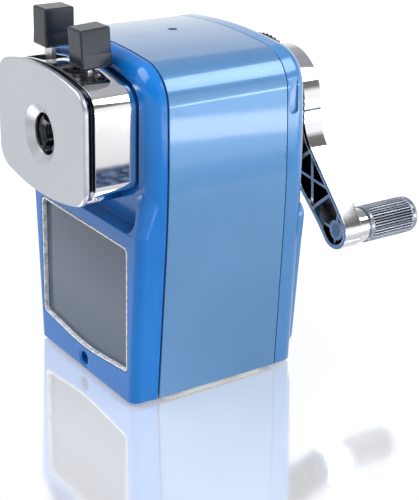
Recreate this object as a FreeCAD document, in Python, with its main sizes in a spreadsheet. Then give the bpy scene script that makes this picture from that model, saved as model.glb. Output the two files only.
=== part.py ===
import FreeCAD, Part
import math
import os
import re

# Desk pencil sharpener with a crank: parametric model in millimetres.
# +X is right as seen from the front, +Y runs to the crank, +Z is up.
# The origin is the centre of the footprint on the table.

V = FreeCAD.Vector
doc = FreeCAD.newDocument("PencilSharpener")

# ---------------------------------------------------------------- dimensions
DIMENSIONS = {
    # casing section and lengths
    "case_half_bottom": 30.0, "case_half_mid": 34.8, "case_mid_z": 70.0,
    "case_half_top": 33.3, "case_corner_z": 104.2, "case_crown_z": 108.0,
    "case_corner_r": 12.0, "case_crown_r": 180.0, "case_side_r": 380.0,
    "case_bottom_z": 1.2, "case_wall": 0.9,
    "case_front_y": -20.5, "case_rear_y": 21.5,
    "hole_x": -2.5, "hole_y": 3.6, "hole_r": 1.5,
    # front frame
    "frame_front_y": -30.0, "frame_face_y": -26.4, "frame_rear_y": -21.2,
    "frame_ledge_z": 56.0, "frame_round": 5.0, "frame_corner": 3.0,
    "lower_inset": 0.15, "blend_step": 0.12, "blend_top_z": 71.0, "blend_half": 33.6,
    "blend_y": -25.9,
    "frame_wall": 2.8, "recess_y": -24.0, "recess_half": 30.2, "recess_corner": 4.0,
    "recess_bend": 10.0, "nose_gap": 0.5,
    "frame_hollow_y": -22.0, "spigot_gap": 1.1, "spigot_y": -17.5,
    # rear plate, which leans back towards the table
    "rear_lean": 1.7, "lean_z": 65.0,
    "rear_front_y": 21.8, "rear_face_y": 29.7, "rear_round": 4.4, "rear_hollow_y": 27.2,
    "rear_spigot_y": 18.5, "bulge_half_top": 32.8, "bulge_half_low": 27.4,
    "bulge_top_z": 56.6, "bulge_low_z": 4.0, "bulge_face_y": 31.8, "bulge_corner": 5.0,
    "bulge_round": 2.6, "strip_front_y": 22.5, "strip_rear_y": 25.6, "strip_depth": 2.6,
    "strip_round": 1.4, "strip_low_z": 86.5, "strip_top_z": 98.5, "unit_hole_r": 17.6,
    "notch_r": 19.2, "notch_half": 3.6, "notch_turn": 40.0,
    # base, feet, clamp socket, posts and screws
    "base_half": 28.4, "base_front_y": -17.2, "base_rear_y": 20.0, "base_thick": 2.2,
    "socket_slot_half": 3.5, "socket_slot_y": -2.6,
    "foot_r": 5.0, "foot_depth": 1.0, "foot_x": 20.5, "foot_y": 11.0,
    "socket_z": 4.6, "socket_r": 2.3, "socket_wall": 0.8, "socket_length": 26.0,
    "post_r": 2.8, "post_low_x": 27.0, "post_low_z": 61.0, "post_top_x": 22.0,
    "post_top_z": 97.0, "post_bore": 12.0, "post_gap": 0.1, "screw_r": 1.2,
    "screw_head_r": 2.6, "screw_head": 1.3, "screw_hole_gap": 0.35,
    # crank axis, nose and pencil hole
    "axis_z": 81.2, "pencil_r": 6.3, "dish_r": 9.15, "dish_depth": 1.8,
    "nose_half": 26.7, "nose_side_low_z": 66.6, "nose_side_top_z": 98.4,
    "nose_crown_z": 104.6, "nose_sag_z": 60.4, "nose_corner_r": 7.0, "nose_crown_r": 90.0,
    "nose_front_y": -43.8, "rim_rear_y": -42.3, "groove_rear_y": -40.1,
    "shell_rear_y": -24.4, "rim_round": 0.7, "boss_r": 10.6, "boss_rear_y": -41.3,
    "shell_inset": 0.4, "shell_wall": 2.6, "groove_depth": 1.7, "groove_low_z": 67.5,
    "back_thick": 2.2,
    "slot_inner_x": 5.0, "slot_outer_x": 17.5, "slot_front_y": -39.2, "slot_rear_y": -30.6,
    # guide rods and their springs
    "rod_x": 20.5, "rod_z": 72.0, "rod_r": 2.0, "rod_end_y": 23.8, "bush_r": 3.3,
    "bush_rear_y": -19.0, "bush_lip": 0.9, "bush_lip_thick": 1.4, "clip_r": 3.3,
    "clip_thick": 1.5,
    "spring_r": 3.0, "spring_wire": 0.4, "spring_pitch": 3.0,
    # levers, tabs and jaws
    "pivot_x": 10.7, "pivot_z": 94.0, "pivot_r": 1.2, "lever_front_y": -34.6,
    "lever_thick": 1.4, "lever_half": 2.2, "lever_top_z": 108.6, "lever_jaw_x": 5.3,
    "tab_half": 3.9, "tab_flare": 0.6, "tab_flare_rise": 4.0, "tab_length": 11.4,
    "tab_front_y": -37.5, "tab_rear_y": -27.8, "tab_edge_r": 0.6, "left_tab_z": 110.3,
    "left_tab_lean": 0.0, "right_tab_z": 108.5, "right_tab_lean": 3.5, "tab_slot_z": 109.0,
    "lever_spring_r": 1.3, "lever_spring_wire": 0.25, "lever_spring_z": 97.0,
    "jaw_inner_r": 3.0, "jaw_outer_r": 5.6, "jaw_front_y": -41.0, "jaw_rear_y": -31.2,
    "thread_pitch": 1.0, "thread_depth": 0.5, "jaw_half_angle": 62.0,
    # drawer
    "drawer_half": 26.6, "drawer_low_z": 11.1, "drawer_sag_z": 8.2, "drawer_top_z": 51.6,
    "drawer_gap": 0.3, "drawer_corner": 2.0, "panel_thick": 2.6, "panel_rim": 0.6,
    "panel_sink": 1.5, "tray_half": 25.2,
    "tray_low_z": 11.6, "tray_top_z": 49.5, "tray_rear_y": 18.0, "tray_wall": 1.4,
    # cutter unit
    "ring_r": 21.0, "ring_front_y": 30.2, "ring_rear_y": 38.2, "serrations": 64,
    "serration_depth": 0.7, "barrel_r": 17.0, "barrel_wall": 1.7, "barrel_front_y": 13.5,
    "lug_r": 18.9, "lug_half": 3.2, "lug_front_y": 24.0, "lug_rear_y": 25.5,
    "bush_hole_r": 4.06, "unit_bush_r": 6.0, "unit_bush_front_y": 27.3,
    "unit_bush_rear_y": 38.8,
    # bevel gearing and helical cutter
    "cone_tilt": 11.0, "apex_y": 47.7, "ring_teeth": 24, "pinion_teeth": 13,
    "pitch_length": 30.15, "gear_face": 5.0, "ring_root": 0.65, "ring_tip": 1.15,
    "ring_root_width": 1.95, "ring_tip_width": 1.35, "pinion_root": 0.95,
    "pinion_tip": 0.65, "pinion_root_width": 1.55, "pinion_tip_width": 0.7,
    "cutter_r": 6.0, "cutter_start": 32.6,
    "cutter_length": 24.0, "cutter_blades": 12, "cutter_twist_pitch": 62.0,
    "blade_depth": 1.1, "axle_r": 1.5, "axle_start": 21.8, "axle_length": 38.8,
    "running_gap": 0.05,
    # carrier
    "carrier_front_y": -12.5, "carrier_disc": 2.7, "carrier_r": 15.4, "carrier_hole_r": 4.8,
    "carrier_back_y": 23.9, "carrier_back": 3.0, "cradle_r": 10.4, "cradle_wall": 2.2,
    "shaft_r": 4.0, "shaft_end_y": 46.6,
    # crank arm and knob
    "crank_length": 48.7, "crank_angle": 50.0, "hub_r": 16.7, "tip_r": 6.1,
    "arm_waist": 7.2, "arm_neck_r": 20.0, "arm_hub_y": 41.4, "arm_tip_y": 44.2,
    "arm_depth": 6.7, "arm_wall": 1.4, "arm_bend_near": 14.0, "arm_bend_far": 44.0,
    "arm_bend_r": 50.0, "rib_wall": 1.0, "rib_drop": 0.9, "rib_near": 22.5,
    "rib_far": 38.0, "rib_rise": 6.6, "boss_wall": 1.1, "hub_boss_wall": 2.4,
    "spindle_r": 2.2, "collar_r": 5.6, "collar_length": 3.8, "knob_r": 6.1,
    "knob_length": 20.9, "knob_gap": 0.3, "knob_end_r": 1.8, "knob_start_r": 0.6,
    "knob_end_wall": 2.4,
}

sheet = doc.addObject("Spreadsheet::Sheet", "Dimensions")
for row, (alias, number) in enumerate(DIMENSIONS.items(), start=1):
    sheet.set(f"A{row}", alias)
    sheet.set(f"B{row}", str(number))
    sheet.setAlias(f"B{row}", alias)
doc.recompute()


def size(alias):
    """Value of one cell of the sheet."""
    return float(getattr(sheet, alias))


def bound(text):
    """Expression text in which every alias points at the sheet."""
    return re.sub(r"\b([a-z]+_\w+)\b", r"Dimensions.\1", text)


# ------------------------------------------------------------ outline helpers
def inset(points, distance):
    """Move every side of a closed counter-clockwise outline inwards."""
    moved = []
    count = len(points)
    for i in range(count):
        before, here, after = points[i - 1], points[i], points[(i + 1) % count]
        first = V(here[0] - before[0], here[1] - before[1], 0).normalize()
        second = V(after[0] - here[0], after[1] - here[1], 0).normalize()
        lean = V(-first.y - second.y, first.x + second.x, 0)
        step = distance / (1 + first.dot(second))
        radius = here[2]
        if radius:
            radius = max(radius - distance, 0.2)
        moved.append((here[0] + lean.x * step, here[1] + lean.y * step, radius))
    return moved


def rounded(points):
    """Lines and tangent arcs along a closed outline of (x, y, corner radius)."""
    joins = []
    count = len(points)
    for i in range(count):
        here = V(points[i][0], points[i][1], 0)
        before = V(points[i - 1][0], points[i - 1][1], 0)
        after = V(points[(i + 1) % count][0], points[(i + 1) % count][1], 0)
        back = (before - here).normalize()
        ahead = (after - here).normalize()
        radius = points[i][2]
        if radius == 0:
            joins.append((here, None, here))
            continue
        half = back.getAngle(ahead) / 2
        start = here + back * (radius / math.tan(half))
        end = here + ahead * (radius / math.tan(half))
        middle = here + (back + ahead).normalize() * (radius / math.sin(half) - radius)
        joins.append((start, middle, end))
    edges = []
    for i in range(count):
        start, middle, end = joins[i]
        if middle:
            edges.append(Part.Arc(start, middle, end))
        following = joins[(i + 1) % count][0]
        if (following - end).Length > 1e-6:
            edges.append(Part.LineSegment(end, following))
    return edges


def circle(x, y, radius):
    return [Part.Circle(V(x, y, 0), V(0, 0, 1), radius)]


def box_outline(left, low, right, top, radius=0):
    return rounded([(left, low, radius), (right, low, radius),
                    (right, top, radius), (left, top, radius)])


def case_outline(distance=0.0, top=None):
    """Casing section: tapered sides, round shoulders and a low crown."""
    low = size("case_bottom_z")
    bottom, side = size("case_half_bottom"), size("case_half_mid")
    shoulder, corner = size("case_half_top"), size("case_corner_r")
    side_z, corner_z = size("case_mid_z"), size("case_corner_z")
    if top:
        reach = bottom + (side - bottom) * (top - low) / (side_z - low)
        return rounded(inset([(-bottom, low, 0), (bottom, low, 0), (reach, top, 0),
                              (-reach, top, 0)], distance))
    bend, crown = size("case_side_r"), size("case_crown_r")
    points = [(-bottom, low, 0), (bottom, low, 0), (side, side_z, bend),
              (shoulder, corner_z, corner), (0, size("case_crown_z"), crown),
              (-shoulder, corner_z, corner), (-side, side_z, bend)]
    return rounded(inset(points, distance))


def nose_outline(distance=0.0):
    """Nose section: straight sides, arched top and bottom edges."""
    half, corner, crown = size("nose_half"), size("nose_corner_r"), size("nose_crown_r")
    low, top = size("nose_side_low_z"), size("nose_side_top_z")
    points = [(0, size("nose_sag_z"), crown), (half, low, corner), (half, top, corner),
              (0, size("nose_crown_z"), crown), (-half, top, corner), (-half, low, corner)]
    return rounded(inset(points, distance))


def drawer_outline(distance=0.0):
    half, corner = size("drawer_half"), size("drawer_corner")
    low, top = size("drawer_low_z"), size("drawer_top_z")
    points = [(0, size("drawer_sag_z"), size("nose_crown_r")), (half, low, corner),
              (half, top, corner), (-half, top, corner), (-half, low, corner)]
    return rounded(inset(points, distance))


# ------------------------------------------------------------ feature helpers
def body(name):
    item = doc.addObject("PartDesign::Body", name)
    item.Label = name
    doc.recompute()
    return item


def sketch(item, name, role, offset, edges):
    """Sketch on one of the body's own origin planes, moved along its normal."""
    drawn = item.newObject("Sketcher::SketchObject", f"{item.Name}_{name}")
    support = next(f for f in item.Origin.OriginFeatures if f.Role == role)
    drawn.AttachmentSupport = (support, [""])
    drawn.MapMode = "FlatFace"
    drawn.setExpression(".AttachmentOffset.Base.z", bound(offset))
    drawn.addGeometry(edges, False)
    doc.recompute()
    return drawn


def feature(item, kind, name, profile, length, reverse):
    made = item.newObject(kind, f"{item.Name}_{name}")
    made.Profile = profile
    made.setExpression("Length", bound(length))
    made.Reversed = reverse
    doc.recompute()
    return made


def slab(item, name, edges, start, end):
    """Pad an XZ outline from one depth to another along +Y."""
    drawn = sketch(item, f"{name}_sketch", "XZ_Plane", f"-({start})", edges)
    return feature(item, "PartDesign::Pad", name, drawn, f"({end}) - ({start})", True)


def cut(item, name, edges, start, end):
    """Pocket an XZ outline from one depth to another along +Y."""
    before = item.Shape.Volume
    drawn = sketch(item, f"{name}_sketch", "XZ_Plane", f"-({start})", edges)
    made = feature(item, "PartDesign::Pocket", name, drawn, f"({end}) - ({start})", False)
    assert item.Shape.Volume < before, f"{name} cuts nothing"
    return made


def sink(item, name, edges, top, low):
    """Pocket an XY outline downwards from one height to another."""
    before = item.Shape.Volume
    drawn = sketch(item, f"{name}_sketch", "XY_Plane", top, edges)
    made = feature(item, "PartDesign::Pocket", name, drawn, f"({top}) - ({low})", False)
    assert item.Shape.Volume < before, f"{name} cuts nothing"
    return made


def trim(item, name, edges, length):
    """Pocket a YZ outline through both sides of the middle plane."""
    before = item.Shape.Volume
    drawn = sketch(item, f"{name}_sketch", "YZ_Plane", "0", edges)
    made = feature(item, "PartDesign::Pocket", name, drawn, length, False)
    made.Midplane = True
    doc.recompute()
    assert item.Shape.Volume < before, f"{name} cuts nothing"
    return made


def turn(item, name, edges):
    """Revolve a (depth, radius) outline about the body's own Y axis."""
    drawn = sketch(item, f"{name}_sketch", "YZ_Plane", "0", edges)
    made = item.newObject("PartDesign::Revolution", f"{item.Name}_{name}")
    made.Profile = drawn
    made.ReferenceAxis = (drawn, ["H_Axis"])
    made.Angle = 360
    doc.recompute()
    return made


def soften(item, name, radius, chosen):
    """Fillet the edges of the body's tip that the test chooses."""
    names = [f"Edge{i}" for i, edge in enumerate(item.Tip.Shape.Edges, start=1)
             if chosen(edge.BoundBox)]
    made = item.newObject("PartDesign::Fillet", f"{item.Name}_{name}")
    made.Base = (item.Tip if item.Tip != made else made.BaseFeature, names)
    made.setExpression("Radius", bound(radius))
    doc.recompute()
    return made


def lift(item):
    """Raise a piece built about the crank axis to the axis height."""
    item.setExpression(".Placement.Base.z", bound("axis_z"))


def rod(name, radius, length, x="0", y="0", z="0"):
    """Cylinder along +Y from (x, y, z)."""
    made = doc.addObject("Part::Cylinder", name)
    made.setExpression("Radius", bound(radius))
    made.setExpression("Height", bound(length))
    made.Placement.Rotation = FreeCAD.Rotation(V(1, 0, 0), -90)
    made.setExpression(".Placement.Base.x", bound(x))
    made.setExpression(".Placement.Base.y", bound(y))
    made.setExpression(".Placement.Base.z", bound(z))
    return made


def fuse(name, shapes):
    made = doc.addObject("Part::MultiFuse", name)
    made.Shapes = shapes
    made.Label = name
    return made


def subtract(name, base, tool):
    made = doc.addObject("Part::Cut", name)
    made.Base = base
    made.Tool = tool
    made.Label = name
    return made


def share(name, base, tool):
    made = doc.addObject("Part::Common", name)
    made.Base = base
    made.Tool = tool
    made.Label = name
    return made


def group(name, shapes):
    """Several loose solids in one node."""
    made = doc.addObject("Part::Compound", name)
    made.Links = shapes
    made.Label = name
    return made


def flat(name, edges, rotation, length, symmetric=False):
    """Straight extrusion of a free sketch."""
    drawn = doc.addObject("Sketcher::SketchObject", f"{name}_sketch")
    drawn.Placement = FreeCAD.Placement(V(0, 0, 0), rotation)
    drawn.addGeometry(edges, False)
    made = doc.addObject("Part::Extrusion", name)
    made.Base = drawn
    made.DirMode = "Normal"
    made.setExpression("LengthFwd", bound(length))
    made.Solid = True
    made.Symmetric = symmetric
    return made


FACING = FreeCAD.Rotation(V(1, 0, 0), 90)
LEVEL = FreeCAD.Rotation()

# -------------------------------------------------------------- fixed housing
# Sheet steel casing: an arch open at the bottom and at both ends.
# Its rear end leans back towards the table, as the rear plate does.
case = body("case_shell")
slab(case, "skin", case_outline(), "case_front_y", "case_rear_y + 3")
wall = size("case_wall")
cut(case, "inside", case_outline(wall), "case_front_y", "case_rear_y + 3")
low_width = size("case_half_bottom") - wall
cut(case, "underside", box_outline(-low_width, 0, low_width, 4), "case_front_y",
    "case_rear_y + 3")
case_rear, slope = size("case_rear_y"), math.tan(math.radians(size("rear_lean")))
lean_z, case_top = size("lean_z"), size("case_crown_z") + 4
trim(case, "rear_end", rounded([
    (case_rear + slope * lean_z, 0, 0), (case_rear + 6, 0, 0), (case_rear + 6, case_top, 0),
    (case_rear - slope * (case_top - lean_z), case_top, 0)]), "case_half_mid*3")
sink(case, "top_hole", circle(size("hole_x"), size("hole_y"), size("hole_r")),
     "case_crown_z", "case_crown_z - 8")

# Moulded front frame: a rounded bezel round the nose and a deeper lower part
# round the drawer, with a spigot that enters the casing.
frame = body("front_frame")
slab(frame, "bezel", case_outline(), "frame_face_y", "frame_rear_y")
face_y = size("frame_face_y")
soften(frame, "bezel_round", "frame_round",
       lambda box: box.YMax < face_y + 0.01 and box.ZMax > 5)
front_y, ledge = size("frame_front_y"), size("frame_ledge_z")
slight, step = size("lower_inset"), size("blend_step")
slab(frame, "lower", case_outline(slight, ledge + slight), "frame_front_y", "frame_rear_y")
soften(frame, "lower_round", "frame_corner",
       lambda box: box.YMax < front_y + 0.01 and box.XLength < 10 and box.ZLength > 20)


def level_outline(half, front, corner):
    """Horizontal section of the frame: two rounded front corners."""
    rear = size("frame_rear_y")
    return rounded([(-half, rear, 0), (-half, front, corner), (half, front, corner),
                    (half, rear, 0)])


# Above the ledge the lower block slopes back into the bezel.
ledge_half = (size("case_half_bottom")
              + (size("case_half_mid") - size("case_half_bottom"))
              * (ledge - size("case_bottom_z")) / (size("case_mid_z") - size("case_bottom_z"))
              - slight - step)
blend = frame.newObject("PartDesign::AdditiveLoft", "front_frame_blend")
blend.Profile = sketch(frame, "blend_low", "XY_Plane", "frame_ledge_z",
                       level_outline(ledge_half, front_y + step, size("frame_corner")))
blend.Sections = [sketch(frame, "blend_top", "XY_Plane", "blend_top_z",
                         level_outline(size("blend_half"), size("blend_y"),
                                       size("frame_round")))]
blend.Ruled = True
doc.recompute()
slab(frame, "spigot", case_outline(size("spigot_gap")), "frame_rear_y", "spigot_y")
cut(frame, "hollow", case_outline(size("frame_wall")), "frame_hollow_y", "spigot_y")
cut(frame, "drawer_way", drawer_outline(-size("drawer_gap")), "frame_front_y - 1", "spigot_y")
recess_half, gap = size("recess_half"), size("nose_gap")
recess_corner, bend = size("recess_corner"), size("recess_bend")
nose_side, nose_corner = size("nose_half") + gap, size("nose_corner_r") + gap
nose_low, nose_top = size("nose_side_low_z"), size("nose_side_top_z") + gap
recess = [(-recess_half, ledge, recess_corner), (recess_half, ledge, recess_corner),
          (nose_side, nose_low, bend), (nose_side, nose_top, nose_corner),
          (0, size("nose_crown_z") + gap, size("nose_crown_r")),
          (-nose_side, nose_top, nose_corner), (-nose_side, nose_low, bend)]
cut(frame, "nose_recess", rounded(recess), "frame_front_y", "recess_y")
cut(frame, "pencil_way", circle(0, size("axis_z"), size("pencil_r") + 0.7),
    "recess_y", "frame_hollow_y")
for side in (-1, 1):
    cut(frame, f"bush_hole{side + 1}", circle(side * size("rod_x"), size("rod_z"),
        size("bush_r") + 0.02), "recess_y", "frame_hollow_y")
cut(frame, "socket_hole",
    circle(0, size("socket_z"), size("socket_r") + size("socket_wall") + 0.02),
    "frame_front_y - 1", "spigot_y")

# Moulded rear plate with a fuller lower half, grip strips in its sides and the
# round hole, with three lug notches, that takes the cutter unit.
rear = body("rear_plate")
slab(rear, "plate", case_outline(), "rear_front_y", "rear_face_y")
rear_y = size("rear_face_y")
soften(rear, "plate_round", "rear_round",
       lambda box: box.YMin > rear_y - 0.01 and box.ZMax > 5)
slab(rear, "spigot", case_outline(size("spigot_gap")), "rear_spigot_y", "rear_front_y")
bulge_points = []
for side, end in ((-1, "low"), (1, "low"), (1, "top"), (-1, "top")):
    bulge_points.append((side * size(f"bulge_half_{end}"), size(f"bulge_{end}_z"),
                         size("bulge_corner")))
slab(rear, "bulge", rounded(bulge_points), "rear_hollow_y", "bulge_face_y")
bulge_y = size("bulge_face_y")
soften(rear, "bulge_edge", "bulge_round", lambda box: box.YMin > bulge_y - 0.01)
cut(rear, "hollow", case_outline(size("frame_wall")), "rear_spigot_y", "rear_hollow_y")
cut(rear, "unit_hole", circle(0, size("axis_z"), size("unit_hole_r")),
    "rear_hollow_y", "bulge_face_y")


def lug_outline(degrees, half, inner, outer, height):
    """Straight-sided lug that points outwards from an axis at some height."""
    angle = math.radians(degrees)
    across = V(-math.sin(angle), math.cos(angle), 0) * half
    ray = V(math.cos(angle), math.sin(angle), 0)
    corners = [ray * inner - across, ray * outer - across, ray * outer + across,
               ray * inner + across]
    return rounded([(p.x, p.y + height, 0) for p in corners])


for third in range(3):
    cut(rear, f"notch{third}",
        lug_outline(90 + size("notch_turn") + 120 * third, size("notch_half"),
                    size("barrel_r") - 2, size("notch_r"), size("axis_z")),
        "rear_hollow_y", "bulge_face_y")
for side in (-1, 1):
    strip = sketch(rear, f"strip{side + 1}", "YZ_Plane", f"{side}*(case_half_mid + 1)",
                   box_outline(size("strip_front_y"), size("strip_low_z"),
                               size("strip_rear_y"), size("strip_top_z"),
                               size("strip_round")))
    feature(rear, "PartDesign::Pocket", f"strip_cut{side + 1}", strip, "strip_depth",
            side < 0)
for name, x, z in (("low", "post_low_x", "post_low_z"), ("top", "post_top_x", "post_top_z")):
    for side in (-1, 1):
        cut(rear, f"screw_hole_{name}{side + 1}",
            circle(side * size(x), size(z), size("screw_r") + size("screw_hole_gap")),
            "rear_hollow_y", "bulge_face_y")
rear.Placement = FreeCAD.Placement(V(0, 0, 0), FreeCAD.Rotation(V(1, 0, 0), size("rear_lean")),
                                   V(0, case_rear, lean_z))

# Base plate between the two spigots, with seats for the feet and a slot that
# clears the clamp socket.
base = body("base_plate")
half, front, back = size("base_half"), size("base_front_y"), size("base_rear_y")
plate = sketch(base, "outline", "XY_Plane", "case_bottom_z",
               box_outline(-half, front, half, back, 2))
feature(base, "PartDesign::Pad", "plate", plate, "base_thick", False)
slot_half = size("socket_slot_half")
sink(base, "socket_slot", box_outline(-slot_half, front - 1, slot_half, size("socket_slot_y")),
     "case_bottom_z + base_thick", "case_bottom_z")
seats = []
for x in (-1, 1):
    for y in (-1, 1):
        seats += circle(x * size("foot_x"), y * size("foot_y"), size("foot_r") + 0.05)
seat_sketch = sketch(base, "seats", "XY_Plane", "case_bottom_z", seats)
feature(base, "PartDesign::Pocket", "foot_seats", seat_sketch, "foot_depth", True)

# Four round rubber feet.
feet = []
for x in (-1, 1):
    for y in (-1, 1):
        foot = doc.addObject("Part::Cylinder", f"foot{x + 1}{y + 1}")
        foot.setExpression("Radius", bound("foot_r"))
        foot.setExpression("Height", bound("case_bottom_z + foot_depth"))
        foot.setExpression(".Placement.Base.x", bound(f"{x}*foot_x"))
        foot.setExpression(".Placement.Base.y", bound(f"{y}*foot_y"))
        feet.append(foot)
rubber_feet = group("rubber_feet", feet)

# Blind tube under the drawer that takes the rod of a table clamp.
socket_outer = rod("socket_outer", "socket_r + socket_wall", "socket_length",
                   y="frame_front_y + 0.1", z="socket_z")
socket_bore = rod("socket_bore", "socket_r", "socket_length - socket_wall",
                  y="frame_front_y + 0.1", z="socket_z")
clamp_socket = subtract("clamp_socket", socket_outer, socket_bore)

# Four posts tie the front frame to the rear plate; a screw enters each one.
posts, screws = [], []
for name, x, z in (("low", "post_low_x", "post_low_z"), ("top", "post_top_x", "post_top_z")):
    leaned = f"tan(rear_lean*1deg)*({z} - lean_z)"
    seat, face = f"(rear_hollow_y - post_gap - {leaned})", f"(rear_face_y - {leaned})"
    for side in (-1, 1):
        across = f"{side}*{x}"
        post = rod(f"post_{name}{side + 1}", "post_r", f"{seat} - frame_hollow_y", across,
                   "frame_hollow_y", z)
        bore = rod(f"post_bore_{name}{side + 1}", "screw_r + 0.02", "post_bore + 1", across,
                   f"{seat} - post_bore", z)
        posts.append(subtract(f"post_tube_{name}{side + 1}", post, bore))
        shank = rod(f"shank_{name}{side + 1}", "screw_r", f"{face} - {seat} + post_bore - 1",
                    across, f"{seat} - post_bore + 1.1", z)
        head = rod(f"head_{name}{side + 1}", "screw_head_r", "screw_head", across,
                   f"{face} + post_gap", z)
        screws.append(fuse(f"screw_{name}{side + 1}", [shank, head]))
tie_posts = group("tie_posts", posts)
rear_screws = group("rear_screws", screws)

# Flanged bushes in the frame wall that guide the two rods of the nose.
bushes = []
for side in (-1, 1):
    sleeve = rod(f"bush_sleeve{side + 1}", "bush_r", "bush_rear_y - recess_y",
                 f"{side}*rod_x", "recess_y", "rod_z")
    flange = rod(f"bush_flange{side + 1}", "bush_r + bush_lip", "bush_lip_thick",
                 f"{side}*rod_x", "frame_hollow_y + 0.02", "rod_z")
    bore = rod(f"bush_bore{side + 1}", "rod_r + running_gap", "bush_rear_y - recess_y + 2",
               f"{side}*rod_x", "recess_y - 1", "rod_z")
    whole = fuse(f"bush_body{side + 1}", [sleeve, flange])
    bushes.append(subtract(f"bush{side + 1}", whole, bore))
rod_bushes = group("rod_bushes", bushes)


def coil(name, radius, wire, pitch, length, place):
    """Round-wire coil spring along its own +Z, then placed."""
    helix = Part.makeHelix(pitch, length, radius)
    start = helix.Edges[0].valueAt(helix.Edges[0].FirstParameter)
    heading = helix.Edges[0].tangentAt(helix.Edges[0].FirstParameter)
    ring = Part.Wire([Part.makeCircle(wire, start, heading)])
    made = doc.addObject("Part::Feature", name)
    made.Shape = Part.Wire(helix.Edges).makePipeShell([ring], True, True)
    made.Placement = place
    return made


# Compression springs round the rods pull the nose back against the frame.
springs = []
spring_front = size("bush_rear_y") + size("spring_wire") + 0.1
spring_back = size("rod_end_y") - size("clip_thick") - size("spring_wire") - 0.5
for side in (-1, 1):
    place = FreeCAD.Placement(V(side * size("rod_x"), spring_front, size("rod_z")),
                              FreeCAD.Rotation(V(1, 0, 0), -90))
    springs.append(coil(f"return_spring{side + 1}", size("spring_r"), size("spring_wire"),
                        size("spring_pitch"), spring_back - spring_front, place))
return_springs = group("return_springs", springs)

# --------------------------------------------------------------------- drawer
# Clear tray: a front panel sunk inside a thin raised rim, and an open box behind it.
drawer = body("shavings_drawer")
slab(drawer, "panel", drawer_outline(), "frame_front_y", "frame_front_y + panel_thick")
cut(drawer, "panel_face", drawer_outline(size("panel_rim")), "frame_front_y",
    "frame_front_y + panel_sink")
tray, tray_low, tray_top = size("tray_half"), size("tray_low_z"), size("tray_top_z")
slab(drawer, "tray", box_outline(-tray, tray_low, tray, tray_top, 2),
     "frame_front_y + panel_thick", "tray_rear_y")
thin = size("tray_wall")
sink(drawer, "inside",
     box_outline(-tray + thin, front_y + size("panel_thick") + 0.2, tray - thin,
                 size("tray_rear_y") - thin, 2), "tray_top_z", "tray_low_z + tray_wall")

# ----------------------------------------------------------------------- nose
# Chrome face plate: a flat plate with a dished pencil hole and a boss behind it.
face = body("face_plate")
slab(face, "plate", nose_outline(), "nose_front_y", "rim_rear_y")
nose_y = size("nose_front_y")
soften(face, "plate_round", "rim_round", lambda box: box.YMax < nose_y + 0.01)
slab(face, "boss", circle(0, size("axis_z"), size("boss_r")), "rim_rear_y", "boss_rear_y")
cut(face, "pencil_hole", circle(0, size("axis_z"), size("pencil_r")),
    "nose_front_y - 1", "boss_rear_y + 1")
dish = sketch(face, "dish_sketch", "YZ_Plane", "0", rounded([
    (nose_y - 0.2, 0.5, 0), (nose_y + size("dish_depth"), 0.5, 0),
    (nose_y + size("dish_depth"), size("pencil_r"), 0), (nose_y, size("dish_r"), 0),
    (nose_y - 0.2, size("dish_r") + 0.2, 0)]))
dish.setExpression(".AttachmentOffset.Base.y", bound("axis_z"))
hollow = face.newObject("PartDesign::Groove", "face_plate_dish")
hollow.Profile = dish
hollow.ReferenceAxis = (dish, ["H_Axis"])
hollow.Angle = 360
doc.recompute()

# Chrome nose shell behind the face plate. A groove parts the two along the top
# and the sides and ends above the bottom edge; two slots let the tabs through.
shell = body("nose_shell")
slab(shell, "wall", nose_outline(size("shell_inset")), "rim_rear_y + 0.05", "shell_rear_y")
cut(shell, "inside", nose_outline(size("shell_inset") + size("shell_wall")),
    "rim_rear_y", "shell_rear_y")
groove_half = size("nose_half") - size("shell_inset") - size("groove_depth")
groove_top = size("nose_side_top_z") - size("groove_depth") / 2
groove_low, outside = size("groove_low_z"), size("nose_half") + 5
cut(shell, "groove", rounded([
    (groove_half, groove_low, 0), (groove_half, groove_top, size("nose_corner_r") - 2),
    (0, size("nose_crown_z") - size("groove_depth") - 0.5, size("nose_crown_r")),
    (-groove_half, groove_top, size("nose_corner_r") - 2), (-groove_half, groove_low, 0),
    (-outside, groove_low, 0), (-outside, groove_top + 20, 0),
    (outside, groove_top + 20, 0), (outside, groove_low, 0)]),
    "rim_rear_y", "groove_rear_y")
for side in (-1, 1):
    near, far = side * size("slot_inner_x"), side * size("slot_outer_x")
    sink(shell, f"slot{side + 1}",
         box_outline(min(near, far), size("slot_front_y"), max(near, far),
                     size("slot_rear_y"), 1.5), "nose_crown_z + 1", "nose_crown_z - 8")

# Back plate of the nose: it carries the guide rods and the lever pins.
back = body("nose_back_plate")
slab(back, "plate", nose_outline(size("shell_inset") + size("shell_wall") + 0.1),
     "shell_rear_y - back_thick", "shell_rear_y")
cut(back, "pencil_way", circle(0, size("axis_z"), size("pencil_r") + 0.7),
    "shell_rear_y - back_thick", "shell_rear_y")
for side in (-1, 1):
    cut(back, f"rod_hole{side + 1}",
        circle(side * size("rod_x"), size("rod_z"), size("rod_r") + 0.01),
        "shell_rear_y - back_thick", "shell_rear_y")
    cut(back, f"pin_hole{side + 1}",
        circle(side * size("pivot_x"), size("pivot_z"), size("pivot_r") + 0.01),
        "shell_rear_y - back_thick", "shell_rear_y")

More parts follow.
